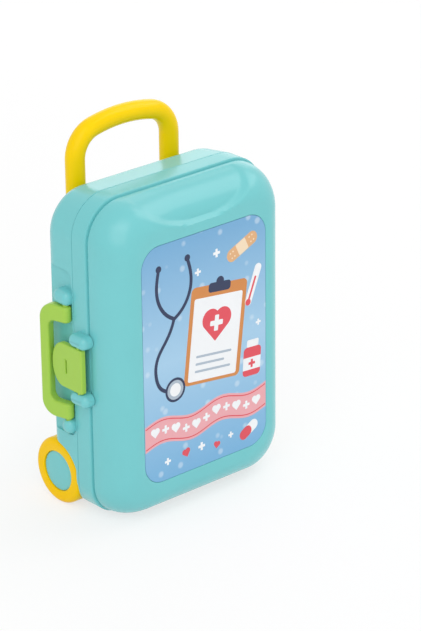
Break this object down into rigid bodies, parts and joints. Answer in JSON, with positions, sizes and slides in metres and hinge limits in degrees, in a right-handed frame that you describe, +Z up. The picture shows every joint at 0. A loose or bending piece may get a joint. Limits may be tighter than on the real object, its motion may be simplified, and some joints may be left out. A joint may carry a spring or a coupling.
{
  "type": "toy doctor case",
  "caption": "Child's toy doctor case shaped like a small trolley suitcase, with a hinged front lid, latch, carry handle, pull handle and wheels.",
  "frame": {"origin": "on the ground under the middle of the parting plane, at the stand rib's underside", "axes": "+Z up, +Y from the front lid towards the pull handle's side, +X from the latch side towards the hinge side"},
  "size_m": [0.2274, 0.123, 0.3515],
  "materials": {
    "teal_plastic": "glossy",
    "yellow_plastic": "glossy",
    "wheel_plastic": "satin",
    "green_plastic": "satin",
    "grey_plastic": "matte",
    "label": "satin print",
    "steel": "plain"
  },
  "bodies": {
    "case_body": {"rear_shell": "teal_plastic", "handle_housing": "teal_plastic", "housing_screw_1": "steel", "housing_screw_2": "steel", "housing_screw_3": "steel", "housing_screw_4": "steel", "housing_screw_5": "steel", "housing_screw_6": "steel", "hinge_pin_lower": "steel", "hinge_pin_upper": "steel", "axle": "steel", "push_nut_left": "steel", "push_nut_right": "steel"},
    "lid": {"front_lid": "teal_plastic", "front_label": "label"},
    "latch": {"latch": "green_plastic"},
    "carry_handle": {"carry_handle": "green_plastic"},
    "pull_handle": {"pull_handle": "yellow_plastic", "handle_stop_left": "grey_plastic", "handle_stop_right": "grey_plastic"},
    "wheel_left": {"wheel_left": "wheel_plastic", "hub_cap_left": "teal_plastic"},
    "wheel_right": {"wheel_right": "wheel_plastic", "hub_cap_right": "teal_plastic"}
  },
  "joints": [
    {"name": "lid_hinge", "type": "hinge", "parent": "case_body", "child": "lid", "pos_m": [0.1074, 0, 0.152], "axis": [0, 0, 1], "range_deg": [0, 170]},
    {"name": "latch_turn", "type": "hinge", "parent": "lid", "child": "latch", "pos_m": [-0.1085, -0.013, 0.1482], "axis": [0, 0, 1], "range_deg": [0, 100]},
    {"name": "carry_handle_swing", "type": "hinge", "parent": "case_body", "child": "carry_handle", "pos_m": [-0.1056, 0.0075, 0.1487], "axis": [0, 0, 1], "range_deg": [-13, 82]},
    {"name": "pull_handle_slide", "type": "slide", "parent": "case_body", "child": "pull_handle", "axis": [0, 0, 1], "range_m": [0, 0.124]},
    {"name": "wheel_left_spin", "type": "hinge", "parent": "case_body", "child": "wheel_left", "pos_m": [-0.0895, 0.0334, 0.0312], "axis": [1, 0, 0], "continuous": true},
    {"name": "wheel_right_spin", "type": "hinge", "parent": "case_body", "child": "wheel_right", "pos_m": [0.0895, 0.0334, 0.0312], "axis": [1, 0, 0], "continuous": true}
  ]
}
